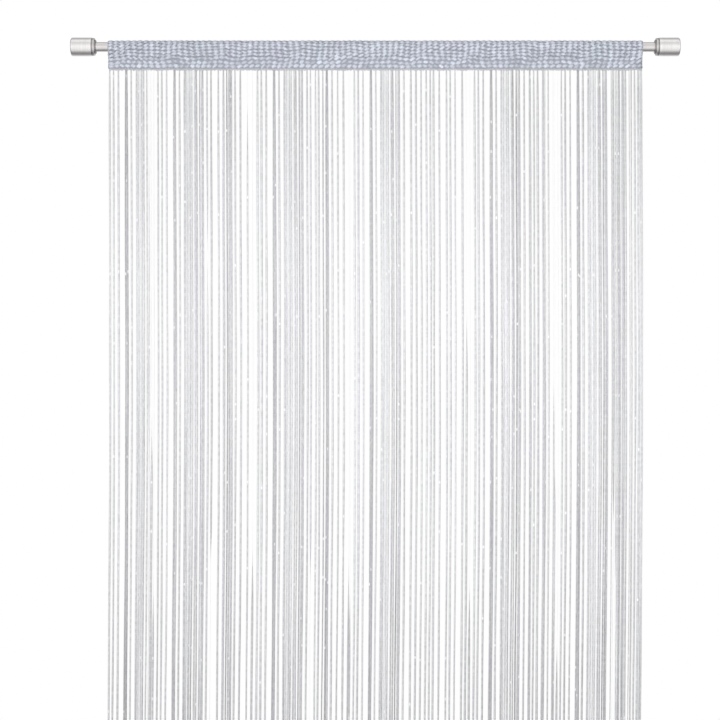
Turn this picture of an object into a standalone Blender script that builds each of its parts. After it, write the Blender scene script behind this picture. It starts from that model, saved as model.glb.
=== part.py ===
"""String curtain on a tension rod: a knitted heading with a rod pocket, a fringe of long strings and two end caps.

Metres, +Z up. The rod runs along X, the curtain faces -Y, and the origin is the centre of the left cap's wall face.
"""

import math

import bmesh
import bpy

MM = 0.001

# Driving dimensions
ROD_SPAN = 1.025
ROD_DIAMETER = 0.016
CAP_DIAMETER = 0.031
CAP_LENGTH = 0.035
HEADING_WIDTH = 0.900
HEADING_HEIGHT = 0.051
POCKET_HEIGHT = 0.034
DROP = 2.000

# Play between pieces that touch
GAP = 0.0003

# End caps and their collars
SOCKET_DEPTH = 0.025
CAP_EDGE = 0.0012
COLLAR_DIAMETER = 0.0296
COLLAR_LENGTH = 0.0045
COLLAR_EDGE = 0.0008
SHOULDER_DIAMETER = 0.0232
SHOULDER_LENGTH = 0.0020
TURNED_SIDES = 40
SHARP_DEGREES = 35

# Knitted heading
RIBS = 92
RIB_CLOTH = 0.0030
FURROW_CLOTH = 0.0021
SEAM_CLOTH = 0.0026
SEAM_FURROW = 0.0022
BAND_BULGE = 0.0038
BAND_FURROW = 0.0028
OUTER_ARC_STEPS = 6
POCKET_ARC_STEPS = 28
POCKET_TIP = 0.0010
CUTTER_OVERRUN = 0.010

# Fringe
STRIP_HEIGHT = 0.0037
STRIP_DEPTH = 0.0024
STRING_DEPTH = 0.0014
ROOT_LENGTH = 0.006
UNEVEN = 0.0008
UNEVEN_STEP = 2.4

# How the strings drift as they hang, in metres.
# Columns: share of the string's length, sideways, towards the room
DRIFT = (
    (0.05, 0.0002, 0.0000),
    (0.25, 0.0015, 0.0010),
    (0.54, -0.0018, 0.0004),
    (1.00, -0.0012, -0.0008),
)

# Width of a string by the yarns that hang together in it
STRING_WIDTH = {1: 0.0022, 2: 0.0032, 3: 0.0042}

# The warping repeat, in millimetres from its first string. Columns: offset, yarns
REPEAT = (
    (0.0, 1),
    (6.4, 1),
    (14.6, 1),
    (28.0, 3),
    (36.2, 1),
    (45.0, 1),
    (48.8, 1),
    (53.6, 1),
    (57.4, 1),
    (63.2, 1),
    (70.2, 3),
    (75.0, 2),
    (84.2, 1),
)

# Where the repeat begins, in millimetres from the heading's left edge. Columns: first string, strings of it that hang
SECTIONS = (
    (2.2, 10),
    (83.5, 13),
    (251.3, 13),
    (414.5, 13),
    (617.2, 13),
    (763.6, 13),
)

# Filling runs between the repeats, in millimetres from the left edge. Columns: first string, strings, pitch, yarns
FILLINGS = (
    (172.9, 2, 12.3, 1),
    (193.8, 3, 5.7, 3),
    (213.3, 3, 9.8, 1),
    (341.2, 2, 7.8, 1),
    (354.4, 2, 7.2, 1),
    (368.2, 1, 0.0, 3),
    (376.8, 3, 9.6, 1),
    (509.8, 4, 8.6, 1),
    (542.4, 2, 5.6, 1),
    (557.7, 2, 12.2, 1),
    (576.1, 2, 8.2, 1),
    (596.3, 2, 6.1, 1),
    (710.3, 3, 6.6, 1),
    (732.8, 3, 8.5, 1),
    (852.9, 1, 0.0, 1),
    (859.1, 2, 7.1, 3),
    (871.8, 6, 5.0, 1),
)

# Heights and places that follow from the sizes above
ROD_RADIUS = ROD_DIAMETER / 2
BORE_RADIUS = ROD_RADIUS + GAP
HEADING_TOP = BORE_RADIUS + RIB_CLOTH
HEADING_BOTTOM = HEADING_TOP - HEADING_HEIGHT
SEAM_HEIGHT = HEADING_TOP - POCKET_HEIGHT
STRIP_TOP = HEADING_BOTTOM + STRIP_HEIGHT
BAND_BOTTOM = STRIP_TOP + GAP
STRING_END = HEADING_TOP - DROP
HEADING_LEFT = (ROD_SPAN - HEADING_WIDTH) / 2
HEADING_RIGHT = HEADING_LEFT + HEADING_WIDTH


def clear_scene():
    for obj in list(bpy.data.objects):
        bpy.data.objects.remove(obj, do_unlink=True)


def finish_of(name, colour, roughness, metallic):
    """A plain Principled material."""
    material = bpy.data.materials.new(name)
    material.use_nodes = True
    shader = material.node_tree.nodes["Principled BSDF"]
    shader.inputs["Base Color"].default_value = (*colour, 1.0)
    shader.inputs["Roughness"].default_value = roughness
    shader.inputs["Metallic"].default_value = metallic
    return material


def piece(name, shape, material=None):
    """Turns a finished bmesh into a named object with its material."""
    bmesh.ops.recalc_face_normals(shape, faces=shape.faces)
    mesh = bpy.data.meshes.new(name)
    shape.to_mesh(mesh)
    shape.free()
    if material:
        mesh.materials.append(material)
    obj = bpy.data.objects.new(name, mesh)
    bpy.context.scene.collection.objects.link(obj)
    return obj


def rounded_corner(x, radius, edge, towards):
    """Three (x, radius) points that round an outer corner, on the side of it given by towards, -1 or 1."""
    middle = edge * (1 - math.sqrt(0.5))
    return [
        (x, radius - edge),
        (x + towards * middle, radius - middle),
        (x + towards * edge, radius),
    ]


def turned(name, outline, material):
    """Spins an (x, radius) outline about the rod's axis. An outline that leaves the axis is closed into a ring."""
    shape = bmesh.new()
    points = [shape.verts.new((x, 0.0, radius)) for x, radius in outline]
    joined = list(zip(points, points[1:]))
    if outline[0][1] > 0:
        joined.append((points[-1], points[0]))
    edges = [shape.edges.new(pair) for pair in joined]
    bmesh.ops.spin(
        shape,
        geom=points + edges,
        cent=(0, 0, 0),
        axis=(1, 0, 0),
        angle=2 * math.pi,
        steps=TURNED_SIDES,
        use_merge=True,
    )
    bmesh.ops.remove_doubles(shape, verts=shape.verts, dist=1e-6)
    obj = piece(name, shape, material)
    obj.data.shade_smooth()
    obj.data.set_sharp_from_angle(angle=math.radians(SHARP_DEGREES))
    return obj


def from_side(outline, side):
    """The outline as it stands at the left end, or mirrored to the right end."""
    if side == "left":
        return outline
    return [(ROD_SPAN - x, radius) for x, radius in reversed(outline)]


def make_rod(material):
    start = CAP_LENGTH - SOCKET_DEPTH + GAP
    end = ROD_SPAN - start
    outline = [(start, 0.0)]
    outline += [(start, ROD_RADIUS), (end, ROD_RADIUS)]
    outline += [(end, 0.0)]
    return turned("rod_tube", outline, material)


def make_cap(side, material):
    """A turned barrel with a flat wall face and a socket that the rod's end sits in."""
    radius = CAP_DIAMETER / 2
    outline = [(0.0, 0.0)]
    outline += rounded_corner(0.0, radius, CAP_EDGE, 1)
    outline += reversed(rounded_corner(CAP_LENGTH, radius, CAP_EDGE, -1))
    outline += [(CAP_LENGTH, BORE_RADIUS)]
    outline += [(CAP_LENGTH - SOCKET_DEPTH, BORE_RADIUS)]
    outline += [(CAP_LENGTH - SOCKET_DEPTH, 0.0)]
    return turned(f"end_cap_{side}", from_side(outline, side), material)


def make_collar(side, material):
    """The ring on the rod in front of a cap, with a narrower shoulder towards the curtain."""
    start = CAP_LENGTH + GAP
    step = start + COLLAR_LENGTH
    end = step + SHOULDER_LENGTH
    radius = COLLAR_DIAMETER / 2
    shoulder = SHOULDER_DIAMETER / 2
    outline = [(start, BORE_RADIUS)]
    outline += rounded_corner(start, radius, COLLAR_EDGE, 1)
    outline += reversed(rounded_corner(step, radius, COLLAR_EDGE, -1))
    outline += [(step, shoulder)]
    outline += reversed(rounded_corner(end, shoulder, COLLAR_EDGE, -1))
    outline += [(end, BORE_RADIUS)]
    return turned(f"collar_{side}", from_side(outline, side), material)


def draped_arc(radius, half_seam, steps):
    """(y, z) points over the rod, front to back: the arc that ends where straight cloth leaves it for the seam."""
    reach = math.hypot(half_seam, SEAM_HEIGHT)
    seam_angle = math.atan2(SEAM_HEIGHT, -half_seam)
    front = seam_angle - math.acos(radius / reach) + 2 * math.pi
    back = math.pi - front
    angles = [front + (back - front) * i / steps for i in range(steps + 1)]
    return [(radius * math.cos(a), radius * math.sin(a)) for a in angles]


def heading_ring(rib):
    """The heading's outer (y, z) outline, up the front and down the back, on a rib or in a furrow."""
    cloth = RIB_CLOTH if rib else FURROW_CLOTH
    seam = (SEAM_CLOTH if rib else SEAM_FURROW) / 2
    bulge = (BAND_BULGE if rib else BAND_FURROW) / 2
    middle = (SEAM_HEIGHT + BAND_BOTTOM) / 2
    front = [(-seam, BAND_BOTTOM), (-bulge, middle), (-seam, SEAM_HEIGHT)]
    back = [(-y, z) for y, z in reversed(front)]
    return front + draped_arc(BORE_RADIUS + cloth, seam, OUTER_ARC_STEPS) + back


def make_pocket_cutter():
    """The rod pocket: the space over and under the rod, closed at the seam."""
    outline = draped_arc(BORE_RADIUS, POCKET_TIP / 2, POCKET_ARC_STEPS)
    tip = SEAM_HEIGHT + POCKET_TIP
    outline += [(POCKET_TIP / 2, tip), (-POCKET_TIP / 2, tip)]
    start = HEADING_LEFT - CUTTER_OVERRUN
    end = HEADING_RIGHT + CUTTER_OVERRUN
    shape = bmesh.new()
    face = shape.faces.new([shape.verts.new((start, y, z)) for y, z in outline])
    pushed = bmesh.ops.extrude_face_region(shape, geom=[face])
    moved = [v for v in pushed["geom"] if isinstance(v, bmesh.types.BMVert)]
    bmesh.ops.translate(shape, verts=moved, vec=(end - start, 0, 0))
    cutter = piece("pocket_cutter", shape)
    cutter.hide_render = True
    cutter.display_type = "WIRE"
    return cutter


def make_heading(material):
    """The knitted band: ribs along its width, a rod pocket above the seam and one thickness below it."""
    shape = bmesh.new()
    rings = []
    for i in range(2 * RIBS + 1):
        x = HEADING_LEFT + HEADING_WIDTH * i / (2 * RIBS)
        outline = heading_ring(rib=i % 2 == 1)
        rings.append([shape.verts.new((x, y, z)) for y, z in outline])
    for left, right in zip(rings, rings[1:]):
        for i in range(len(left)):
            j = (i + 1) % len(left)
            shape.faces.new((left[i], left[j], right[j], right[i]))
    shape.faces.new(rings[0])
    shape.faces.new(reversed(rings[-1]))
    heading = piece("heading_band", shape, material)
    pocket = heading.modifiers.new("rod pocket", "BOOLEAN")
    pocket.operation = "DIFFERENCE"
    pocket.solver = "EXACT"
    pocket.object = make_pocket_cutter()
    return heading


def string_places():
    """(distance from the heading's left edge, yarns) of every string, left to right."""
    places = []
    for first, strings in SECTIONS:
        places += [(first + offset, yarns) for offset, yarns in REPEAT[:strings]]
    for first, strings, pitch, yarns in FILLINGS:
        places += [(first + pitch * i, yarns) for i in range(strings)]
    return sorted(places)


def string_ring(shape, x, y, z, width, depth):
    """Four points round a string at one height."""
    corners = ((-1, -1), (1, -1), (1, 1), (-1, 1))
    return [
        shape.verts.new((x + i * width / 2, y + j * depth / 2, z)) for i, j in corners
    ]


def bridge(shape, upper, lower):
    """The four sides of a string between two heights."""
    for i in range(4):
        j = (i + 1) % 4
        shape.faces.new((upper[i], upper[j], lower[j], lower[i]))


def hang_string(shape, root, x, width, unevenness):
    """Hangs one string from its root ring in the strip and closes its cut end."""
    length = HEADING_BOTTOM - STRING_END
    levels = [(ROOT_LENGTH / length, 0.0, 0.0), *DRIFT]
    upper = root
    for share, sideways, forward in levels:
        y = -forward + unevenness * share
        z = HEADING_BOTTOM - share * length
        lower = string_ring(shape, x + sideways, y, z, width, STRING_DEPTH)
        bridge(shape, upper, lower)
        upper = lower
    shape.faces.new(upper)


def make_fringe(material):
    """The heading's last row with the strings knitted into it, as one solid."""
    shape = bmesh.new()
    front = -STRIP_DEPTH / 2
    back = STRIP_DEPTH / 2
    ends = [HEADING_LEFT, HEADING_RIGHT]
    low_front = [shape.verts.new((ends[0], front, HEADING_BOTTOM))]
    low_back = [shape.verts.new((ends[0], back, HEADING_BOTTOM))]
    for order, (place, yarns) in enumerate(string_places()):
        x = HEADING_LEFT + place * MM
        width = STRING_WIDTH[yarns]
        root = string_ring(shape, x, 0.0, HEADING_BOTTOM, width, STRIP_DEPTH)
        shape.faces.new((low_front[-1], root[0], root[3], low_back[-1]))
        low_front += [root[0], root[1]]
        low_back += [root[3], root[2]]
        hang_string(shape, root, x, width, UNEVEN * math.sin(UNEVEN_STEP * order))
    last_front = shape.verts.new((ends[1], front, HEADING_BOTTOM))
    last_back = shape.verts.new((ends[1], back, HEADING_BOTTOM))
    shape.faces.new((low_front[-1], last_front, last_back, low_back[-1]))
    low_front.append(last_front)
    low_back.append(last_back)
    top = [shape.verts.new((x, y, STRIP_TOP)) for y in (front, back) for x in ends]
    shape.faces.new((top[0], top[1], top[3], top[2]))
    shape.faces.new((top[0], *low_front, top[1]))
    shape.faces.new((top[2], *low_back, top[3]))
    shape.faces.new((top[0], low_front[0], low_back[0], top[2]))
    shape.faces.new((top[1], low_front[-1], low_back[-1], top[3]))
    return piece("string_fringe", shape, material)


clear_scene()
make_heading(finish_of("heading knit", (0.49, 0.52, 0.59), 0.75, 0.0))
make_fringe(finish_of("string yarn", (0.62, 0.62, 0.64), 0.6, 0.0))
make_rod(finish_of("rod steel", (0.75, 0.73, 0.72), 0.28, 1.0))
for end_side in ("left", "right"):
    make_cap(end_side, finish_of(f"cap steel {end_side}", (0.72, 0.70, 0.69), 0.3, 1.0))
    make_collar(
        end_side, finish_of(f"collar steel {end_side}", (0.6, 0.58, 0.57), 0.3, 1.0)
    )
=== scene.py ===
import math

import bpy
import numpy as np
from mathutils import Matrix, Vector


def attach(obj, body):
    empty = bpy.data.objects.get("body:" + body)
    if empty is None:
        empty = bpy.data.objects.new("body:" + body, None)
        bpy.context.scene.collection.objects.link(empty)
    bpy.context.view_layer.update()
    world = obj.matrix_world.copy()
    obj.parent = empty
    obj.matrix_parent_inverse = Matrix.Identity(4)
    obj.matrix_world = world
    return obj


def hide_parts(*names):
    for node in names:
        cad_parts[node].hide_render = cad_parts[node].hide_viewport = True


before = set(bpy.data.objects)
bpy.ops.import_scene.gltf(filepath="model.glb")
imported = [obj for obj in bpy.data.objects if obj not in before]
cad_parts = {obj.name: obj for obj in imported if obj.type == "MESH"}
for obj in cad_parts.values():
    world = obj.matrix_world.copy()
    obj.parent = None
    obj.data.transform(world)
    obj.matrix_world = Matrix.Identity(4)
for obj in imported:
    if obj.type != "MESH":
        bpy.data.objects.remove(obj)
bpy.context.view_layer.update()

# The rod: a 16 mm tube of thin steel, drawn to size and then brushed along its length.
# It is wedged between two walls, and the whole curtain hangs on it.
ROD_SPAN = 1.025
ROD_RADIUS = 0.008
ROD_START = 0.0103
ROD_EDGE = 0.0005
ROD_COLOUR = (0.87, 0.84, 0.84)
ROD_DARK = (0.71, 0.68, 0.68)
ROD_SIDES = 96
# Painted highlight: outer corners of turned steel are painted brighter within this reach, in this colour
EDGE_HIGHLIGHT_REACH = 0.0012
EDGE_HIGHLIGHT_COLOUR = (0.98, 0.97, 0.965)


def vectors(*parts):
    """Points or directions from arrays of x, y and z, or faces from their corners, stretched to one shape."""
    return np.stack(np.broadcast_arrays(*parts), axis=-1)


def rounded(x, radius, edge, towards):
    """A rounded outer corner of a turned part, as (x, radius) points.
    A quarter circle of radius edge that leaves the end face at x and meets the barrel at x + towards * edge."""
    turn = np.linspace(0, math.pi / 2, 6)
    along = x + towards * edge * (1 - np.cos(turn))
    return vectors(along, radius - edge * (1 - np.sin(turn)))


def mesh_piece(name, points, corners, sizes, finish, uv=None, tone=None):
    """Puts whole arrays into a smooth mesh: points, the corner list of all faces, and the corners of each face.
    uv gives a place on the yarn for every corner, and tone a shade for every point."""
    mesh = bpy.data.meshes.new(name)
    mesh.vertices.add(len(points))
    mesh.vertices.foreach_set("co", points.astype(np.float32).ravel())
    mesh.loops.add(len(corners))
    mesh.loops.foreach_set("vertex_index", corners.astype(np.int32))
    mesh.polygons.add(len(sizes))
    starts = np.concatenate([[0], np.cumsum(sizes)[:-1]])
    mesh.polygons.foreach_set("loop_start", starts.astype(np.int32))
    if uv is not None:
        layer = mesh.uv_layers.new(name="yarn")
        layer.uv.foreach_set("vector", uv.astype(np.float32).ravel())
    if tone is not None:
        layer = mesh.attributes.new("tone", "FLOAT", "POINT")
        layer.data.foreach_set("value", tone.astype(np.float32).ravel())
    mesh.update(calc_edges=True)
    mesh.shade_smooth()
    mesh.materials.append(finish)
    obj = bpy.data.objects.new(name, mesh)
    bpy.context.scene.collection.objects.link(obj)
    return obj


def turned(name, outline, sides, finish, ring=False, corners_at=()):
    """A surface of revolution about the rod's axis, X.
    Point (i, j) is (x_i, r_i sin a_j, r_i cos a_j), where a_j goes once round. A ring's outline closes on itself, and
    any other starts and ends at a small flat disc. The tone is a painted highlight: a bell round each outer corner."""
    rows = len(outline)
    edge_highlight = np.zeros(rows)
    for corner in corners_at:
        far = np.hypot(*(outline - np.array(corner)).T)
        edge_highlight = np.maximum(edge_highlight, np.exp(-((far / EDGE_HIGHLIGHT_REACH) ** 2)))
    angle = np.arange(sides) * math.tau / sides
    points = vectors(outline[:, :1], outline[:, 1:] * np.sin(angle), outline[:, 1:] * np.cos(angle)).reshape(-1, 3)
    i = np.arange(rows if ring else rows - 1)[:, None]
    j = np.arange(sides)[None, :]
    after = (i + 1) % rows
    beside = (j + 1) % sides
    quads = vectors(i * sides + j, after * sides + j, after * sides + beside, i * sides + beside).reshape(-1, 4)
    corners = quads.ravel()
    sizes = np.full(len(quads), 4)
    if not ring:
        first = np.arange(sides)
        last = (rows - 1) * sides + np.arange(sides)[::-1]
        corners = np.concatenate([corners, first, last])
        sizes = np.concatenate([sizes, [sides, sides]])
    obj = mesh_piece(name, points, corners, sizes, finish, tone=np.repeat(edge_highlight, sides))
    obj.data.set_sharp_from_angle(angle=math.radians(40))
    return obj


def feed(tree, node, sockets):
    """Sets inputs of a node, each to a value or to the output that feeds it."""
    for socket, value in sockets.items():
        if isinstance(value, bpy.types.NodeSocket):
            tree.links.new(value, node.inputs[socket])
        else:
            node.inputs[socket].default_value = value


def add(tree, kind, sockets=None, **settings):
    """A new shader node with the settings and inputs that are given."""
    node = tree.nodes.new("ShaderNode" + kind)
    for key, value in settings.items():
        setattr(node, key, value)
    feed(tree, node, sockets or {})
    return node


def maths(tree, operation, *terms):
    """The result of a Math node. Each term is a number or an output."""
    return add(tree, "Math", dict(enumerate(terms)), operation=operation).outputs[0]


def ranged(tree, value, first=0.0, last=1.0, low=0.0, high=1.0, clamp=True):
    """A value taken from the range first to last to the range low to high."""
    sockets = {"Value": value, "From Min": first, "From Max": last, "To Min": low, "To Max": high}
    return add(tree, "MapRange", sockets, clamp=clamp).outputs["Result"]


def noise(tree, place, scale, detail):
    """Fractal noise at a place."""
    sockets = {"Vector": place, "Scale": scale, "Detail": detail}
    return add(tree, "TexNoise", sockets).outputs["Fac"]


def blend(tree, share, first, second):
    """The colour that a share takes from the first to the second."""
    ends = [c if isinstance(c, bpy.types.NodeSocket) else (*c, 1.0) for c in (first, second)]
    sockets = {"Factor": share, 6: ends[0], 7: ends[1]}
    return add(tree, "Mix", sockets, data_type="RGBA").outputs[2]


def bumped(tree, height, strength, distance):
    """A normal that follows a height."""
    sockets = {"Height": height, "Strength": strength, "Distance": distance}
    return add(tree, "Bump", sockets).outputs["Normal"]


def group(name, inputs, outputs):
    """A new node group, its entry's outputs and its exit, from lists of (socket, value) and of sockets.
    A value of None stands for a vector."""
    tree = bpy.data.node_groups.new(name, "ShaderNodeTree")
    for socket, value in inputs:
        kind = "NodeSocketVector" if value is None else "NodeSocketFloat"
        made = tree.interface.new_socket(socket, in_out="INPUT", socket_type=kind)
        if value is not None:
            made.default_value = value
    for socket in outputs:
        tree.interface.new_socket(socket, in_out="OUTPUT", socket_type="NodeSocketFloat")
    return tree, tree.nodes.new("NodeGroupInput").outputs, tree.nodes.new("NodeGroupOutput")


def placed(tree, name, **sockets):
    """The outputs of a node group that is put into a material. An underscore stands for a space."""
    sockets = {key.replace("_", " "): value for key, value in sockets.items()}
    return add(tree, "Group", sockets, node_tree=bpy.data.node_groups[name]).outputs


def new_material(name, sockets):
    """A new material, its node tree, and its shader with these inputs."""
    material = bpy.data.materials.new(name)
    material.use_nodes = True
    shader = material.node_tree.nodes["Principled BSDF"]
    feed(material.node_tree, shader, sockets)
    return material, material.node_tree, shader


def brush_lines():
    """Fine lines left by brushing: noise that is stretched far along the lines and changes quickly across them.
    Lines in X and Lines in YZ are its cells in a metre. It puts out the lines and a broad, slow cloudiness."""
    inputs = [("Place", None), ("Lines in X", 30.0), ("Lines in YZ", 900.0)]
    tree, given, leave = group("brush lines", inputs, ["Lines", "Cloud"])
    across = given["Lines in YZ"]
    cells = add(tree, "CombineXYZ", {"X": given["Lines in X"], "Y": across, "Z": across})
    scaled = add(tree, "VectorMath", {0: given["Place"], 1: cells.outputs[0]}, operation="MULTIPLY")
    lines = noise(tree, scaled.outputs[0], 1.0, 4.0)
    feed(tree, leave, {"Lines": lines, "Cloud": noise(tree, given["Place"], 90.0, 2.0)})


def steel(name, bright, dark, smooth, rough, in_x, in_yz, relief):
    """Brushed steel: the lines and the cloudiness vary its colour, its roughness from smooth to rough, and its bump.
    Its corners are painted brighter, a painted highlight, where the mesh's tone says so."""
    material, tree, shader = new_material(name, {"Metallic": 1.0})
    place = add(tree, "TexCoord").outputs["Object"]
    lines = placed(tree, "brush lines", Place=place, Lines_in_X=in_x, Lines_in_YZ=in_yz)
    both = maths(tree, "MULTIPLY_ADD", lines["Lines"], 0.7, maths(tree, "MULTIPLY", lines["Cloud"], 0.3))
    colour = add(tree, "ValToRGB", {"Fac": both})
    for stop, position, value in zip(colour.color_ramp.elements, (0.32, 0.62), (dark, bright)):
        stop.position = position
        stop.color = (*value, 1.0)
    # The painted highlight on the outer corners, read from the mesh's tone
    edge_highlight = add(tree, "Attribute", attribute_name="tone").outputs["Fac"]
    sockets = {
        "Base Color": blend(tree, edge_highlight, colour.outputs["Color"], EDGE_HIGHLIGHT_COLOUR),
        "Roughness": ranged(tree, both, 0.3, 0.7, rough, smooth),
        "Normal": bumped(tree, lines["Lines"], relief, 0.0002),
    }
    feed(tree, shader, sockets)
    return material


brush_lines()
rod_steel = steel(
    "brushed rod steel", ROD_COLOUR, ROD_DARK, smooth=0.22, rough=0.32, in_x=12.0, in_yz=1300.0, relief=0.08
)
rod_outline = np.concatenate(
    [
        rounded(ROD_START, ROD_RADIUS, ROD_EDGE, 1),
        vectors(np.linspace(0.03, ROD_SPAN - 0.03, 9), ROD_RADIUS),
        rounded(ROD_SPAN - ROD_START, ROD_RADIUS, ROD_EDGE, -1)[::-1],
    ]
)
rod = turned("rod", rod_outline, ROD_SIDES, rod_steel)
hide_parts("rod_tube")
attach(rod, "root")

# The end caps: steel barrels that are turned and then brushed round, one on each end of the rod.
# Each presses its flat face against a side wall, and its socket holds the rod's end.
CAP_RADIUS = 0.0155
CAP_LENGTH = 0.035
CAP_EDGE = 0.0006
CAP_NOSE = 0.0027
FACE_RECESS = 0.0004
FACE_RIM = 0.0126
FACE_SLOPE = 0.0004
FACE_MIDDLE = 0.0006
SOCKET_MOUTH = 0.0083
SOCKET_DEEP = 0.006
CAP_SIDES = 128
CAP_COLOUR = (0.94, 0.91, 0.915)
CAP_DARK = (0.84, 0.81, 0.81)


def from_right(outline):
    """The same outline at the rod's right end: x is taken from the far wall, in the opposite order."""
    return vectors(ROD_SPAN - outline[:, 0], outline[:, 1])[::-1]


cap_steel = steel(
    "satin cap steel", CAP_COLOUR, CAP_DARK, smooth=0.20, rough=0.28, in_x=1100.0, in_yz=25.0, relief=0.03
)
# The outer corners that get a painted highlight
cap_corners = np.array([(0.0, CAP_RADIUS), (CAP_LENGTH, CAP_RADIUS)])
cap_outline = np.concatenate(
    [
        [(FACE_RECESS, FACE_MIDDLE), (FACE_RECESS, FACE_RIM - FACE_SLOPE)],
        [(0.0, FACE_RIM)],
        rounded(0.0, CAP_RADIUS, CAP_NOSE, 1),
        vectors(np.linspace(0.006, CAP_LENGTH - 0.006, 5), CAP_RADIUS),
        rounded(CAP_LENGTH, CAP_RADIUS, CAP_EDGE, -1)[::-1],
        [(CAP_LENGTH, SOCKET_MOUTH), (CAP_LENGTH - SOCKET_DEEP, SOCKET_MOUTH)],
        [(CAP_LENGTH - SOCKET_DEEP, FACE_MIDDLE)],
    ]
)
for side, place in (("left", np.array), ("right", from_right)):
    cap = turned(f"cap_{side}", place(cap_outline), CAP_SIDES, cap_steel, corners_at=place(cap_corners))
    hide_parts(f"end_cap_{side}")
    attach(cap, "root")

# The locking rings: a steel ring on the rod in front of each cap, with a narrower shoulder towards the curtain.
# The same steel as the caps, darker, partly as its own colour and partly as painted shade, with a fine groove behind
# it.
RING_START = 0.0353
RING_RADIUS = 0.0148
RING_LENGTH = 0.0045
SHOULDER_RADIUS = 0.0116
SHOULDER_LENGTH = 0.0020
RING_EDGE = 0.0008
# Darker than the caps' steel: partly its own colour and partly painted shade
RING_COLOUR = (0.50, 0.475, 0.475)
RING_DARK = (0.26, 0.24, 0.24)

ring_steel = steel(
    "darker ring steel with painted shade", RING_COLOUR, RING_DARK, smooth=0.24, rough=0.36, in_x=1100.0, in_yz=25.0, relief=0.08
)
ring_step = RING_START + RING_LENGTH
ring_end = ring_step + SHOULDER_LENGTH
ring_outline = np.concatenate(
    [
        [(RING_START, SOCKET_MOUTH)],
        rounded(RING_START, RING_RADIUS, RING_EDGE / 2, 1),
        rounded(ring_step, RING_RADIUS, RING_EDGE, -1)[::-1],
        [(ring_step, SHOULDER_RADIUS)],
        rounded(ring_end, SHOULDER_RADIUS, RING_EDGE, -1)[::-1],
        [(ring_end, SOCKET_MOUTH)],
    ]
)
# The corner that gets a painted highlight
ring_corners = np.array([(ring_step, RING_RADIUS)])
for side, place in (("left", np.array), ("right", from_right)):
    ring = turned(f"ring_{side}", place(ring_outline), CAP_SIDES, ring_steel, ring=True, corners_at=place(ring_corners))
    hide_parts(f"collar_{side}")
    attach(ring, "root")

# The heading's ground cloth: one long tape of dense blue-grey polyester knit.
# It is folded over the rod and sewn to itself below it, which makes the pocket that the rod slides through.
HEADING_LEFT = 0.0625
HEADING_WIDTH = 0.900
COLUMNS = 92
COLUMN_SWELL = 0.00025
SKIN_RADIUS = 0.0113
SEAM_Z = -0.0227
SEAM_HALF = 0.0013
BAND_BOTTOM = -0.0357
BAND_BULGE = 0.0006
BAND_DRAWN = 0.0175
CLOTH_THICK = 0.0010
CLOTH_DEPTH = 0.0019
CLOTH_END = 0.0567
LEG_GAP = 0.00012
LEG_THICK = 0.0006
# The ground cloth's colours, darker than the yarns' as painted shade in the gaps between the grains
GROUND_COLOUR = (0.485, 0.51, 0.59)
GROUND_DARK = (0.35, 0.372, 0.44)
LOOP_WIDE = 0.0016
LOOP_HIGH = 0.0011

# The fibres in a yarn: cells of noise across a ply, and in a metre along it, and the cells of its slow unevenness
FILAMENTS_ACROSS = 7.0
FILAMENTS_ALONG = 260.0
UNEVEN_CELLS = 160.0

# Painted glints of the foil thread: how long a place is, a glint as a share of it, and how many places chance moves it
FLECK_PLACE = 0.085
FLECK_LENGTH = 0.07
FLECK_SCATTER = -6.4


def heading_skin():
    """The outer face of the heading's front in section, as distances down from the top, y, z and outward direction.
    A circle about the rod's axis runs to where a straight line to the seam touches it. That line follows, and then the
    band, which swells as half a sine and goes on a little past its end. A running mean softens the seam's crease."""
    seam_reach = math.hypot(SEAM_HALF, SEAM_Z)
    seam_angle = math.atan2(-SEAM_Z, SEAM_HALF) + math.pi / 2
    leave = seam_angle - math.acos(SKIN_RADIUS / seam_reach)
    turn = np.linspace(0, leave, 200)
    arc = vectors(-SKIN_RADIUS * np.sin(turn), SKIN_RADIUS * np.cos(turn))
    part = np.linspace(0, 1, 160)[1:, None]
    straight = arc[-1] + (np.array([-SEAM_HALF, SEAM_Z]) - arc[-1]) * part
    fall = np.linspace(0, 1, 160)[1:]
    swell = np.minimum(fall * BAND_DRAWN / (SEAM_Z - BAND_BOTTOM), 1.0)
    band = vectors(-SEAM_HALF - BAND_BULGE * np.sin(math.pi * swell), SEAM_Z - fall * BAND_DRAWN)
    line = np.concatenate([arc, straight, band])
    step = np.hypot(*np.diff(line, axis=0).T)
    down = np.concatenate([[0], np.cumsum(step)])
    even = np.linspace(0, down[-1], 1200)
    y = np.interp(even, down, line[:, 0])
    z = np.interp(even, down, line[:, 1])
    reach = 32
    mean = np.ones(2 * reach + 1) / (2 * reach + 1)
    y = np.convolve(np.concatenate([-y[reach:0:-1], y, np.full(reach, y[-1])]), mean, "valid")
    lower = z[-1] - (even[1] - even[0]) * np.arange(1, reach + 1)
    z = np.convolve(np.concatenate([z[reach:0:-1], z, lower]), mean, "valid")
    slope_y = np.gradient(np.concatenate([[-y[1]], y]))[1:]
    slope_z = np.gradient(np.concatenate([[z[1]], z]))[1:]
    length = np.hypot(slope_y, slope_z)
    return even, y, z, slope_z / length, -slope_y / length


SKIN_DOWN, SKIN_Y, SKIN_Z, SKIN_OUT_Y, SKIN_OUT_Z = heading_skin()


def on_skin(down, rise):
    """The (y, z) place at a distance down from the top line, and the outward direction there.
    A negative distance is on the back, which mirrors the front. rise lifts the place off the outer face."""
    down, rise = np.broadcast_arrays(down, rise)
    side = np.where(down < 0, -1.0, 1.0)
    far = np.abs(down)
    y = np.interp(far, SKIN_DOWN, SKIN_Y)
    z = np.interp(far, SKIN_DOWN, SKIN_Z)
    out_y = np.interp(far, SKIN_DOWN, SKIN_OUT_Y)
    out_z = np.interp(far, SKIN_DOWN, SKIN_OUT_Z)
    return side * (y + rise * out_y), z + rise * out_z, side * out_y, out_z


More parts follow.
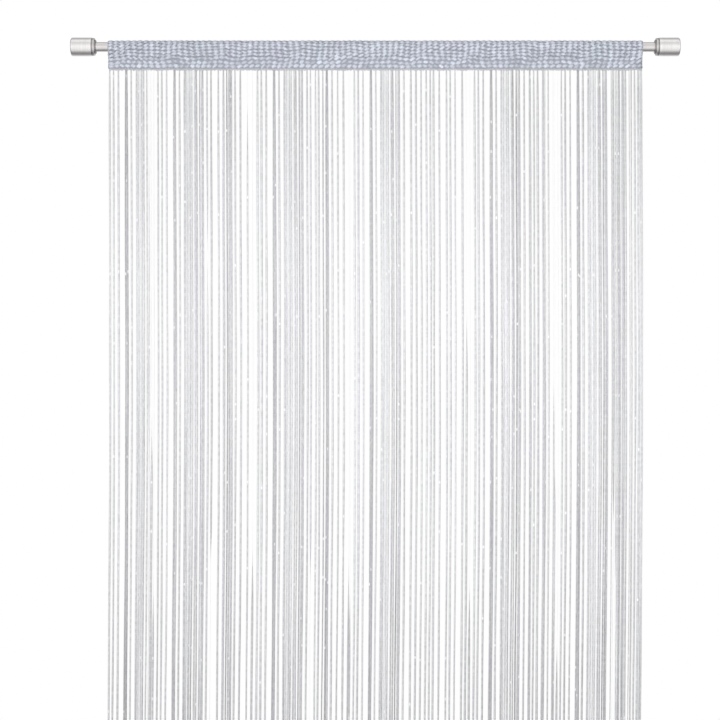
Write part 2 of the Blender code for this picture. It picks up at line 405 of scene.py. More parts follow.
def ground_cloth(finish):
    """The tape as a closed thin sheet: two lines a thickness apart, carried along the heading's width.
    In section it runs up the front, over the rod and down the back. Its outer line swells by a cosine from one column
    of stitches to the next, and below the seam its two legs are pressed together."""
    down = np.linspace(CLOTH_END, -CLOTH_END, 61)
    x = HEADING_LEFT + HEADING_WIDTH * np.linspace(0, 1, 185)
    wave = COLUMN_SWELL * np.cos((x - HEADING_LEFT) / HEADING_WIDTH * COLUMNS * math.tau)
    outer_y, outer_z = on_skin(down, wave[:, None] - CLOTH_DEPTH)[:2]
    inner_y, inner_z = on_skin(down, -CLOTH_DEPTH - CLOTH_THICK)[:2]
    face = np.sign(np.where(np.abs(down) < 1e-6, 0.0, -down))
    outer_y = face * np.maximum(face * outer_y, LEG_GAP + LEG_THICK)
    inner_y = face * np.maximum(face * inner_y, LEG_GAP)
    outside = vectors(x[:, None], outer_y, outer_z)
    inside = vectors(x[:, None], inner_y, inner_z)
    points = np.concatenate([outside, inside[:, ::-1]], axis=1)
    columns, around = points.shape[:2]
    i = np.arange(columns - 1)[:, None]
    j = np.arange(around)[None, :]
    beside = (j + 1) % around
    near = i * around
    walls = vectors(near + j, near + around + j, near + around + beside, near + beside)
    k = np.arange(len(down) - 1)
    end = vectors(k, k + 1, around - 2 - k, around - 1 - k)
    other = (columns - 1) * around + end[:, ::-1]
    quads = np.concatenate([walls.reshape(-1, 4), end, other])
    sizes = np.full(len(quads), 4)
    return mesh_piece("heading_cloth", points.reshape(-1, 3), quads.ravel(), sizes, finish)


def yarn_plies():
    """The plies of a yarn, read from its own UV, where U goes once round and V is metres along it.
    Each ply is a rounded ridge. The ridges wind round as a rope's do, or meet in arrows as a chain of loops does, by
    Arrows from 0 to 1. It puts out the ridges, fine filaments along them, and a slow unevenness. These two differ from
    yarn to yarn by Own."""
    inputs = [("UV", None), ("Plies", 2.0), ("Pitch", 0.006), ("Arrows", 0.0), ("Own", 0.0)]
    tree, given, leave = group("yarn plies", inputs, ["Ridge", "Filaments", "Uneven"])
    split = add(tree, "SeparateXYZ", {0: given["UV"]}).outputs
    along = maths(tree, "DIVIDE", split["Y"], given["Pitch"])
    wound = maths(tree, "MULTIPLY", split["X"], given["Plies"])
    folded = maths(tree, "PINGPONG", wound, 0.5)
    choose = add(tree, "Mix", {"Factor": given["Arrows"], 2: wound, 3: folded}, data_type="FLOAT")
    inside = maths(tree, "FRACT", maths(tree, "ADD", along, choose.outputs[0]))
    ridge = maths(tree, "SINE", maths(tree, "MULTIPLY", inside, math.pi))
    across = maths(tree, "MULTIPLY", inside, FILAMENTS_ACROSS)
    slow = maths(tree, "MULTIPLY", split["Y"], FILAMENTS_ALONG)
    apart = maths(tree, "MULTIPLY", given["Own"], 91.0)
    thread = add(tree, "CombineXYZ", {"X": across, "Y": slow, "Z": apart})
    length = add(tree, "CombineXYZ", {"X": split["Y"], "Y": apart})
    filaments = noise(tree, thread.outputs[0], 1.0, 3.0)
    uneven = noise(tree, length.outputs[0], UNEVEN_CELLS, 3.0)
    feed(tree, leave, {"Ridge": ridge, "Filaments": filaments, "Uneven": uneven})


def dye_drift():
    """How the dye drifts over the curtain: two broad noises on Object coordinates, drawn out in height."""
    tree, given, leave = group("dye drift", [("Place", None)], ["Mauve", "Green"])
    for socket, seed, scale, first, last in (("Mauve", 3.1, 16.0, 0.45, 0.66), ("Green", 17.7, 11.0, 0.54, 0.78)):
        sockets = {0: given["Place"], 1: (scale, scale * 0.5, scale * 0.35), 2: (seed, seed, seed)}
        moved = add(tree, "VectorMath", sockets, operation="MULTIPLY_ADD")
        drift = noise(tree, moved.outputs[0], 1.0, 2.0)
        feed(tree, leave, {socket: ranged(tree, drift, first, last)})


def painted_foil_glints():
    """Where a yarn's foil thread is painted near-white as a glint: its length is cut into places, and a random share of
    them has a fleck.
    With t from -1 to 1 along a fleck and a the angle round the yarn, it is where 1 - t^2 - 1.5 (1 - |sin a|) is above
    about 0.3, a small ellipse. Own shifts the places, so that two yarns don't glint at one height."""
    inputs = [("UV", None), ("Own", 0.0), ("Share", 0.0)]
    tree, given, leave = group("painted foil glints", inputs, ["Fleck"])
    split = add(tree, "SeparateXYZ", {0: given["UV"]}).outputs
    shift = maths(tree, "MULTIPLY", given["Own"], 173.0)
    place = maths(tree, "MULTIPLY_ADD", split["Y"], 1 / FLECK_PLACE, shift)
    number = maths(tree, "FLOOR", place)
    chance = add(tree, "TexWhiteNoise", {"W": number}, noise_dimensions="1D").outputs["Value"]
    picked = maths(tree, "LESS_THAN", chance, given["Share"])
    inside = maths(tree, "MULTIPLY_ADD", chance, FLECK_SCATTER, maths(tree, "FRACT", place))
    far = ranged(tree, inside, last=FLECK_LENGTH, low=-1.0, clamp=False)
    square = maths(tree, "MULTIPLY", far, far)
    angle = maths(tree, "MULTIPLY_ADD", split["X"], math.tau, chance)
    facing = maths(tree, "ABSOLUTE", maths(tree, "SINE", angle))
    ellipse = maths(tree, "SUBTRACT", maths(tree, "MULTIPLY_ADD", facing, 1.5, -0.5), square)
    fleck = maths(tree, "MULTIPLY", picked, ranged(tree, ellipse, 0.20, 0.40))
    feed(tree, leave, {"Fleck": fleck})


def knit_cloth(name, light, dark):
    """Dense knit seen between the yarns: small loops in rows and columns on Object coordinates."""
    material, tree, shader = new_material(name, {"Roughness": 0.85})
    place = add(tree, "TexCoord").outputs["Object"]
    split = add(tree, "SeparateXYZ", {0: place}).outputs
    waves = []
    for axis, pitch in (("X", LOOP_WIDE), ("Z", LOOP_HIGH)):
        waves.append(maths(tree, "SINE", maths(tree, "MULTIPLY", split[axis], math.tau / pitch)))
    level = ranged(tree, maths(tree, "MULTIPLY", *waves), first=-1.0)
    sockets = {"Base Color": blend(tree, level, dark, light), "Normal": bumped(tree, level, 0.6, 0.0004)}
    feed(tree, shader, sockets)
    return material


yarn_plies()
dye_drift()
painted_foil_glints()
cloth = ground_cloth(knit_cloth("dense ground knit", GROUND_COLOUR, GROUND_DARK))
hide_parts("heading_band")
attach(cloth, "root")

# The heading's inlaid rows: a fat, loosely twisted blue-grey yarn laid in along each row of the knit.
# The chains of stitches pinch it at every column, so that it stands up between them as a plump grain.
COLUMN_PITCH = HEADING_WIDTH / COLUMNS
FRONT_PLACES = (-0.5, -0.40, -0.33, -0.20, -0.07, 0.07, 0.20, 0.33, 0.40)
BACK_PLACES = (-0.5, -0.40, -0.28, -0.10, 0.10, 0.28, 0.40)
GRAIN_HALF = 0.42
PINCH_WIDE = 0.0013
PINCH_DEEP = 0.0006
PINCH_SINK = 0.0005
TOP_UNEVEN = 0.0004
GRAIN_LIFT = 0.0024
WANDER = 0.0011
WANDER_BELOW = 0.0008
ENDS_STEADY = 0.012
HEIGHT_SPREAD = 0.09
DEPTH_SPREAD = 0.08
LEAN_SPREAD = 0.40
STRAY = 0.00026
# Painted light and shade in the rows' tone: the top rows lighter, each grain lighter at its crown and darker towards
# its pinches and flanks
PAINTED_TOP_LIGHT = 1.1
LOW_DARKER = 0.16
PAINTED_GRAIN_LIGHT = 0.9
PAINTED_FLANK_SHADE = 1.4
CROWN_MEAN = 0.62
PLY_PITCH = 0.0052
PLY_RELIEF = 0.13
NUMBER_SPREAD = 0.371
# The near-white painted on a yarn as the glint of its foil thread
GLINT_PAINT_COLOUR = (0.97, 0.97, 0.98)
BASE_SHARE = 0.72
TONE_SHARE = 0.34
FILAMENT_SHARE = 0.22

# A yarn's colours: on its plies, as painted shade in the grooves between them, and where its dye leans to mauve and to
# green
YARN_COLOURS = (
    (0.625, 0.655, 0.738),
    (0.405, 0.435, 0.505),
    (0.632, 0.645, 0.738),
    (0.610, 0.655, 0.716),
)

# The waves in which a row rises and falls. Columns: height, radians in a metre, radians from one row to the next
ROLL = ((0.00115, 88, 0.25), (0.00080, 151, 0.5), (0.00040, 23, 0.9))

# Each inlaid row. Columns: distance down from the top line, half its height, half its depth
ROWS = (
    (0.0000, 0.00260, 0.0012),
    (0.0053, 0.00270, 0.0012),
    (0.0107, 0.00270, 0.0012),
    (0.0161, 0.00280, 0.0012),
    (0.0219, 0.00300, 0.0012),
    (0.0280, 0.00300, 0.0012),
    (0.0335, 0.00300, 0.0012),
    (0.0396, 0.00325, 0.0011),
    (0.0461, 0.00340, 0.0011),
    (0.0526, 0.00345, 0.0011),
)


def carried(name, centre, side, out, wide, deep, sides, finish, tone, relief=0.0, pitch=1.0, crown=0.0):
    """Rounded yarns carried along many paths at once, closed flat at both ends.
    A point is centre + f (wide cos(a) side + deep sin(a) out), where a goes once round and side x out runs along the
    path. f = 1 - relief cos(2a + 2 pi s / pitch), s being the length so far, raises two plies that wind round it.
    The tone is raised by crown (sin(a) - CROWN_MEAN), a painted highlight on a yarn's crown and painted shade on its
    flanks.
    In the UV, U is the yarn's number and the share of the way round, and V is the metres along it.
    centre, side and out are arrays of paths x rings x 3, wide and deep of paths x rings."""
    paths, rings = wide.shape
    angle = np.arange(sides) * math.tau / sides
    step = np.linalg.norm(np.diff(centre, axis=1), axis=2)
    along = np.concatenate([np.zeros((paths, 1)), np.cumsum(step, axis=1)], axis=1)
    plies = 1 - relief * np.cos(2 * angle + math.tau * along[..., None] / pitch)
    points = (
        centre[:, :, None, :]
        + (plies * wide[..., None] * np.cos(angle))[..., None] * side[:, :, None, :]
        + (plies * deep[..., None] * np.sin(angle))[..., None] * out[:, :, None, :]
    )
    p = np.arange(paths)[:, None, None]
    i = np.arange(rings - 1)[None, :, None]
    j = np.arange(sides)[None, None, :]
    beside = (j + 1) % sides
    start = p * rings * sides + i * sides
    walls = vectors(start + j, start + beside, start + sides + beside, start + sides + j).ravel()
    low = along[:, :-1, None]
    high = along[:, 1:, None]
    left = p + j / sides
    right = p + (j + 1) / sides
    wall_uv = vectors(left, low, right, low, right, high, left, high).reshape(-1, 2)
    number = np.arange(paths)[:, None]
    ring = np.arange(sides)[None, :]
    bottom = (number * rings * sides + ring[:, ::-1]).ravel()
    top = ((number + 1) * rings * sides - sides + ring).ravel()
    round_end = number + (ring + 0.5) / sides
    bottom_uv = vectors(round_end, 0.0).reshape(-1, 2)
    top_uv = vectors(round_end, along[:, -1:]).reshape(-1, 2)
    corners = np.concatenate([walls, bottom, top])
    sizes = np.concatenate([np.full(len(walls) // 4, 4), np.full(2 * paths, sides)])
    uv = np.concatenate([wall_uv, bottom_uv, top_uv])
    shades = tone[..., None] + crown * (np.sin(angle) - CROWN_MEAN)
    return mesh_piece(name, points.reshape(-1, 3), corners, sizes, finish, uv, shades)


def column_wander(down, x):
    """How far a column of stitches strays sideways: a slow sine of its place, whose phase moves on from row to row.
    Below the seam it strays further and its phase moves on faster. It fades out at the heading's two ends."""
    far = np.abs(down)
    below = ((far - 0.033) / 0.006).clip(0, 1)
    phase = 47 * x + 80 * far + 110 * np.maximum(far - 0.036, 0)
    ends = (np.minimum(x - HEADING_LEFT, HEADING_LEFT + HEADING_WIDTH - x) / ENDS_STEADY).clip(0, 1)
    return (WANDER + WANDER_BELOW * below) * np.sin(phase) * ends


def inlaid_rows(name, face, table, places, sides, finish, seed):
    """The inlaid rows in a table, for face 1 in front and -1 behind.
    In each cell, w goes from -1/2 to 1/2. The yarn's half height is an ellipse in w that is never less than the pinch,
    and its centre follows lift * 2w (1 - 16 w^4), so that the grain slants and comes back to the row at the chain.
    It sinks at the pinch, and the top row's grains lie unevenly high. The tone is a painted highlight on the crown and
    painted shade towards the pinch. The top rows are lighter as painted light, and those below the seam a little
    darker."""
    chance = np.random.default_rng(seed)
    cell = np.append(np.repeat(np.arange(COLUMNS), len(places)), COLUMNS - 1)
    w = np.append(np.tile(places, COLUMNS), 0.5)
    x = HEADING_LEFT + (cell + 0.5 + w) * COLUMN_PITCH
    rows = len(table)
    place, half, thick = (np.array(column)[:, None] for column in zip(*table))
    cells = (rows, COLUMNS)
    size = (1 + HEIGHT_SPREAD * chance.standard_normal(cells).clip(-1.6, 1.6))[:, cell]
    plump = (1 + DEPTH_SPREAD * chance.standard_normal(cells).clip(-1.6, 1.6))[:, cell]
    lean = 0.15 + 0.65 * np.sin(np.arange(COLUMNS) * 0.11 + 0.5 * np.arange(rows)[:, None])
    lean = (lean + LEAN_SPREAD * chance.standard_normal(cells))[:, cell]
    stray = (STRAY * chance.standard_normal(cells))[:, cell]
    number = np.arange(rows)[:, None]
    roll = sum(high * np.sin(x * rate + later * number) for high, rate, later in ROLL)
    roll = roll * np.minimum(place / 0.008, 1.0) * np.minimum((0.0565 - place) / 0.011, 1.0)
    swell = np.sqrt(np.clip(1 - (w / GRAIN_HALF) ** 2, 0, 1))
    wide = np.maximum(half * size * swell**0.7, PINCH_WIDE)
    deep = np.maximum(thick * plump * swell**0.6, PINCH_DEEP)
    zig = GRAIN_LIFT * lean * 2 * w * (1 - (2 * w) ** 4) + stray * swell
    down = face * (place + roll - zig)
    uneven = TOP_UNEVEN * chance.random(cells)[:, cell] * np.exp(-((place / 0.003) ** 2))
    y, z, out_y, out_z = on_skin(down, -thick - PINCH_SINK * (1 - swell) - uneven)
    centre = vectors(x + column_wander(place, x), y, z)
    out = vectors(0.0, out_y, out_z)
    # side x out has to run along +X
    side = vectors(0.0, out_z, -out_y)
    low = ((place - 0.030) / 0.010).clip(0, 1)
    tone = (0.5 + (0.2 + 0.1 * low) * chance.standard_normal(cells))[:, cell]
    # Painted highlight on each grain's crown, painted shade towards its pinches, and painted light on the top rows
    tone = tone + PAINTED_GRAIN_LIGHT * (1 - 0.5 * low) * (swell**2 - CROWN_MEAN)
    tone = tone + PAINTED_TOP_LIGHT * np.exp(-((place / 0.0048) ** 2)) - LOW_DARKER * low
    return carried(name, centre, side, out, wide, deep, sides, finish, tone, PLY_RELIEF, PLY_PITCH, PAINTED_FLANK_SHADE)


def yarn_finish(name, colours, pitch, relief, rough, arrows=0.0, patches=0.16, foil=0.0):
    """Spun polyester: its colour goes from painted shade in the grooves between plies to light on them, leans to mauve
    and green where the dye drifts, and follows the tone. The plies and filaments raise its bump. foil is the share of
    places painted near-white as glints of its foil thread, and patches how far it is uneven."""
    light, shade, mauve, green = colours
    material, tree, shader = new_material(name, {"Sheen Weight": 0.15, "Sheen Roughness": 0.4})
    uv = add(tree, "UVMap", uv_map="yarn").outputs["UV"]
    tone = add(tree, "Attribute", attribute_name="tone").outputs["Fac"]
    place = add(tree, "TexCoord").outputs["Object"]
    # A grain's own number is its tone. A string's tone changes as it hangs, so its number comes from its UV
    own = tone
    if foil:
        across = add(tree, "SeparateXYZ", {0: uv}).outputs["X"]
        own = maths(tree, "MULTIPLY", maths(tree, "FLOOR", across), NUMBER_SPREAD)
    yarn = placed(tree, "yarn plies", UV=uv, Pitch=pitch, Arrows=arrows, Own=own)
    dye = placed(tree, "dye drift", Place=place)
    dyed = blend(tree, dye["Green"], blend(tree, dye["Mauve"], light, mauve), green)
    # Painted shade in the grooves between plies
    grooves = ranged(tree, yarn["Ridge"], last=0.55, low=0.35)
    ply_shaded_colour = blend(tree, grooves, shade, dyed)
    level = maths(tree, "MULTIPLY_ADD", tone, TONE_SHARE, BASE_SHARE - patches / 2)
    level = maths(tree, "MULTIPLY_ADD", yarn["Filaments"], FILAMENT_SHARE, level)
    level = maths(tree, "MULTIPLY_ADD", yarn["Uneven"], patches, level)
    colour = add(tree, "VectorMath", {0: ply_shaded_colour, "Scale": level}, operation="SCALE").outputs[0]
    if foil:
        # Painted glints: near-white flecks where the foil thread would catch the light
        fleck = placed(tree, "painted foil glints", UV=uv, Own=own, Share=foil)["Fleck"]
        colour = blend(tree, fleck, colour, GLINT_PAINT_COLOUR)
    height = maths(tree, "MULTIPLY_ADD", yarn["Filaments"], 0.35, yarn["Ridge"])
    sockets = {
        "Base Color": colour,
        "Roughness": ranged(tree, yarn["Filaments"], low=rough + 0.12, high=rough - 0.08),
        "Normal": bumped(tree, height, 0.55, relief),
    }
    feed(tree, shader, sockets)
    return material


grain_yarn = yarn_finish("plump blue-grey yarn", YARN_COLOURS, PLY_PITCH, relief=0.0004, rough=0.5)
front_rows = inlaid_rows("front_rows", 1, ROWS, FRONT_PLACES, sides=10, finish=grain_yarn, seed=11)
back_rows = inlaid_rows("back_rows", -1, ROWS[1:], BACK_PLACES, sides=8, finish=grain_yarn, seed=23)

# The pillar chains: between two columns of grains a thin chain of loops runs up the front, over the top and down.
# It is knitted with the ground cloth and ties every inlaid row down to it.
CHAIN_SIDES = 5
CHAIN_WIDE = 0.00115
CHAIN_NARROW = 0.00080
CHAIN_THICK = 0.00050
CHAIN_HIGH = -0.0014
CHAIN_LOW = -0.0017
CHAIN_STEPS = 5
CHAIN_END = 0.0558
CHAIN_SWAY = 0.00025
# The chain yarn's colours, darker than the grains' as painted shade where the chains lie low between the columns
CHAIN_COLOURS = (
    (0.515, 0.545, 0.622),
    (0.365, 0.39, 0.458),
    (0.522, 0.537, 0.622),
    (0.505, 0.545, 0.603),
)


def pillar_chains(finish):
    """The chains, each a flat yarn that crosses the rows. Between two rows it is narrow and low, and on a row it is
    wide and high. Both follow a cosine of the place in the row."""
    chance = np.random.default_rng(37)
    rows = [row[0] for row in ROWS]
    marks = np.array([CHAIN_END] + rows[::-1] + [-row for row in rows[1:]] + [-CHAIN_END])
    part = np.arange(CHAIN_STEPS) / CHAIN_STEPS
    down = np.append(marks[:-1, None] + np.diff(marks)[:, None] * part, marks[-1])
    on_row = np.append(np.cos(math.tau * np.tile(part, len(marks) - 1)) * 0.5 + 0.5, 1.0)
    lines = COLUMNS + 1
    x = HEADING_LEFT + np.arange(lines)[:, None] * COLUMN_PITCH
    x = np.clip(x, HEADING_LEFT + CHAIN_NARROW, HEADING_LEFT + HEADING_WIDTH - CHAIN_NARROW)
    sway = CHAIN_SWAY * np.sin(down * 520 + 2.1 * np.arange(lines)[:, None])
    sway = sway + 0.0002 * chance.standard_normal((lines, len(down)))
    y, z, out_y, out_z = on_skin(down, CHAIN_LOW + (CHAIN_HIGH - CHAIN_LOW) * on_row)
    centre = vectors(x + sway + column_wander(down, x), y, z)
    out = vectors(0 * x, out_y, out_z)
    side = vectors(-1.0, 0.0, 0 * sway)
    wide = CHAIN_NARROW + (CHAIN_WIDE - CHAIN_NARROW) * on_row + 0 * x
    deep = np.full(wide.shape, CHAIN_THICK)
    tone = 0.5 + 0.12 * chance.standard_normal(wide.shape)
    return carried("pillar_chains", centre, side, out, wide, deep, CHAIN_SIDES, finish, tone)


chain_yarn = yarn_finish("thin chain yarn", CHAIN_COLOURS, pitch=0.0029, relief=0.0003, rough=0.6, arrows=1.0)
chains = pillar_chains(chain_yarn)

# The seam: a row of lock stitches along the crease below the rod, through both thicknesses of the tape.
# The thread is thin and a shade darker, and it dips into the cloth between two stitches.
SEAM_DOWN = 0.0428
SEAM_STITCH = 0.0033
SEAM_THREAD = 0.00035
SEAM_LIFT = -0.0012
SEAM_DIP = 0.0006
SEAM_INSET = 0.001
SEAM_COLOUR = (0.50, 0.52, 0.60)
SEAM_COLOURS = (SEAM_COLOUR, (0.36, 0.375, 0.44), SEAM_COLOUR, SEAM_COLOUR)


def seam_stitches(finish):
    """One thread on each face. Its height off the cloth is a raised cosine with one period in each stitch."""
    chance = np.random.default_rng(5)
    stitches = int(HEADING_WIDTH / SEAM_STITCH)
    x = HEADING_LEFT + SEAM_INSET + (HEADING_WIDTH - 2 * SEAM_INSET) * np.linspace(0, 1, stitches * 6 + 1)
    phase = np.linspace(0, math.tau * stitches, len(x))
    face = np.array([[1.0], [-1.0]])
    wander = 0.00012 * np.sin(x * 210) + 0.00005 * chance.standard_normal(len(x))
    y, z, out_y, out_z = on_skin(face * (SEAM_DOWN + wander), SEAM_LIFT - SEAM_DIP * np.cos(phase))
    centre = vectors(x, y, z)
    out = vectors(0.0, out_y, out_z)
    side = vectors(0.0, out_z, -out_y)
    thick = np.full(y.shape, SEAM_THREAD)
    tone = np.full(y.shape, 0.5)
    return carried("seam_stitches", centre, side, out, thick, thick, 5, finish, tone)


seam_yarn = yarn_finish("seam thread", SEAM_COLOURS, pitch=0.0012, relief=0.0001, rough=0.5)
seam = seam_stitches(seam_yarn)

# The heading's last row: two yarns laid tightly round each other, a darker cord along the lower edge.
# Every string is caught between the two as they cross.
EDGE_Z = -0.0378
EDGE_YARN = 0.00100
EDGE_FLAT = 0.85
EDGE_SWING = 0.0011
EDGE_DEPTH = 0.00045
EDGE_COLOURS = (
    (0.64, 0.65, 0.69),
    (0.46, 0.465, 0.495),
    (0.64, 0.63, 0.68),
    (0.59, 0.62, 0.62),
)


def edge_cord(finish):
    """Two yarns half a turn apart on the helix (x, depth cos p, swing sin p), which is flat because the edge is.
    They go once round in each column of stitches. The cord rises and falls with a slow sine and with the product of
    two faster ones."""
    chance = np.random.default_rng(71)
    x = HEADING_LEFT + EDGE_YARN + (HEADING_WIDTH - 2 * EDGE_YARN) * np.linspace(0, 1, COLUMNS * 12 + 1)
    phase = np.linspace(0, math.tau * COLUMNS, len(x)) + np.array([[0.0], [math.pi]])
    wander = 0.00018 * np.sin(x * 160) + 0.00045 * np.sin(x * 417 + 1.0) * np.sin(x * 233)
    wander = wander + 0.00006 * chance.standard_normal((2, len(x)))
    centre = vectors(x, EDGE_DEPTH * np.cos(phase), EDGE_Z + EDGE_SWING * np.sin(phase) + wander)
    out = vectors(0.0, -1.0, 0 * phase)
    side = vectors(0.0, 0 * phase, 1.0)
    wide = EDGE_YARN * (1 + 0.08 * chance.standard_normal(phase.shape).clip(-1.5, 1.5))
    tone = 0.5 + 0.14 * chance.standard_normal(phase.shape)
    return carried("edge_cord", centre, side, out, wide, wide * EDGE_FLAT, 7, finish, tone)


edge_yarn = yarn_finish("dark edge yarn", EDGE_COLOURS, pitch=0.003, relief=0.0003, rough=0.65)
edge = edge_cord(edge_yarn)

# The strings: soft silver-grey chains of polyester with a foil thread in them, two metres long, cut level.
# Each hangs free from the last row, alone or bundled with others, in a warping repeat of clusters and open gaps.
STRING_TOP = -0.0370
STRING_END = -1.9887
HEADING_BOTTOM = -0.0397
STRING_SIDES = 6
STRING_RINGS = 180
STRING_DEEP = 0.0008
TAPE_DEEP = 0.0001
CUT_UNEVEN = 0.0022
GATHER = 0.38
TWIST = 0.42
# Painted shade: strings darker at the top below the heading (TOP_SHADE, TOP_REACH) and far down (FAR_SHADE)
TOP_SHADE = 0.32
TOP_REACH = 0.07
FAR_SHADE = 0.08
TONE_SPREAD = 0.14
TAPE_LIGHT = 0.50
# Painted light on a tape where it turns edge on
EDGE_ON_PAINTED_LIGHT = 1.3
TIP = 0.0004
SILVER_COLOURS = (
    (0.725, 0.73, 0.744),
    (0.57, 0.575, 0.593),
    (0.725, 0.72, 0.748),
    (0.705, 0.725, 0.732),
)
LILAC_COLOURS = (
    (0.70, 0.70, 0.722),
    (0.54, 0.54, 0.562),
    (0.70, 0.692, 0.73),
    (0.68, 0.69, 0.713),
)
# The share of places painted near-white as glints of the foil thread
GLINT_PAINT_SHARE = 0.14
PATCHES = 0.55

# A string's own two waves sideways, and two forward. Columns: how far, radians over the hanging length
SWAY = ((0.00026, 9.5), (0.00015, 31))
LEAN = ((0.00030, 8.1), (0.00018, 27))

# Where strings darken by FAR_SHADE as painted shade, in shares of the hanging length. Columns: from where, over how
# much
DARKER = ((0.19, 0.08), (0.42, 0.12))

# Kinds of string. Columns: yarns in it, half width of a yarn, step to the next yarn, how light it is
KINDS = {
    "single": (1, 0.00172, 0.0, 0.70),
    "thin": (1, 0.00090, 0.0, 0.60),
    "fine": (1, 0.00080, 0.0, 1.15),
    "pair": (2, 0.00115, 0.0020, 0.45),
    "bundle": (3, 0.00110, 0.0020, 0.15),
    "band": (2, 0.00125, 0.0031, 0.50),
    "soft": (2, 0.00120, 0.0022, 0.50),
    "dark": (1, 0.00110, 0.0, -0.30),
}

# The warping repeat: millimetres from its first string, and the kind
REPEAT = (
    (0.0, "single"), (6.4, "single"), (14.6, "single"), (28.0, "bundle"), (36.2, "single"),
    (45.0, "single"), (48.8, "thin"), (53.6, "thin"), (57.4, "thin"), (64.0, "band"),
    (70.2, "dark"), (75.2, "pair"), (83.5, "single"),
)

# Fine, hazy yarns that fill its dense cluster, in millimetres from its first string
REPEAT_FINE = (46.9, 51.2, 55.5, 61.0, 72.6)

# Where the repeat begins, in millimetres from the heading's left edge. Columns: first string, strings of it that hang
SECTIONS = ((2.2, 9), (83.5, 12), (251.3, 13), (414.5, 13), (617.2, 13), (763.6, 12))

# Strings between the repeats, in millimetres from the left edge
FILLINGS = {
    "single": (
        64.6, 185.2, 213.3, 222.3, 349.0, 354.4, 376.8, 386.4, 396.0, 509.8, 518.4, 527.0, 535.6, 542.4, 548.0, 557.7,
        569.9, 576.1, 584.3, 596.3, 716.9, 723.5, 741.3, 871.4, 886.9, 892.8,
    ),
    "thin": (154.2, 202.3, 207.8, 484.8, 735.8, 847.7, 857.0, 868.6, 877.8, 880.9, 897.3, 899.1),
    "fine": (881.9, 895.2),
    "pair": (193.8, 860.5, 866.4),
    "bundle": (368.2,),
    "band": (205.2,),
    "soft": (710.3, 732.8),
    "dark": (199.5, 361.6),
}

# Flat foil tapes among the strings, which turn about their length as they hang. Columns: millimetres from the left
# edge, half width in millimetres, degrees turned from facing the room at the top and further down, and the shares of
# the hanging length between which it turns
TAPES = (
    (68.2, 1.1, 90, -60, 0.00, 0.42),
    (71.7, 1.7, 90, 0, 0.30, 0.38),
    (76.4, 1.7, 90, 0, 0.44, 0.52),
    (166.2, 1.5, 0, 180, 0.05, 0.26),
    (172.9, 1.6, 0, 90, 0.38, 0.43),
    (234.2, 1.5, 90, 0, 0.02, 0.10),
    (242.8, 1.7, 90, 0, 0.40, 0.50),
    (340.6, 1.7, 0, 90, 0.38, 0.45),
    (405.2, 1.5, 90, 0, 0.41, 0.52),
    (407.4, 1.5, 90, 0, 0.43, 0.54),
    (602.9, 1.6, 90, 0, 0.20, 0.30),
    (609.5, 1.7, 90, 0, 0.43, 0.52),
    (749.4, 1.5, 90, 0, 0.25, 0.33),
    (751.6, 1.5, 90, 0, 0.33, 0.41),
    (757.6, 1.7, 90, 0, 0.48, 0.56),
    (850.7, 1.4, 0, 90, 0.34, 0.41),
    (854.4, 0.9, 0, 90, 0.40, 0.46),
)


def string_places():
    """(millimetres from the left edge, kind) of every string but the tapes, from left to right."""
    places = []
    for first, strings in SECTIONS:
        kept = REPEAT[:strings]
        places += [(first + offset, kind) for offset, kind in kept]
        places += [(first + offset, "fine") for offset in REPEAT_FINE if offset < kept[-1][0]]
    for kind, alone in FILLINGS.items():
        places += [(place, kind) for place in alone]
    return sorted(places)


def yarn_table(*kinds):
    """One row for each yarn in strings of these kinds: its x, half width, half depth, step from its string's middle,
    how light it is, its string's number, its two turns and the shares between which it goes from one to the other."""
    table = []
    for order, (place, kind) in enumerate(string_places()):
        if kind in kinds:
            yarns, half, pitch, light = KINDS[kind]
            for k in range(yarns):
                step = (k - (yarns - 1) / 2) * pitch
                table.append((HEADING_LEFT + place * 0.001, half, STRING_DEEP, step, light, order, 0.0, 0.0, 0.0, 1.0))
    return table


def tape_table():
    """The same kind of row for each tape."""
    table = []
    for order, (place, half, above, below, start, end) in enumerate(TAPES):
        turns = np.radians((above, below))
        table.append(
            (HEADING_LEFT + place * 0.001, half * 0.001, TAPE_DEEP, 0.0, TAPE_LIGHT, order, *turns, start, end)
        )
    return table


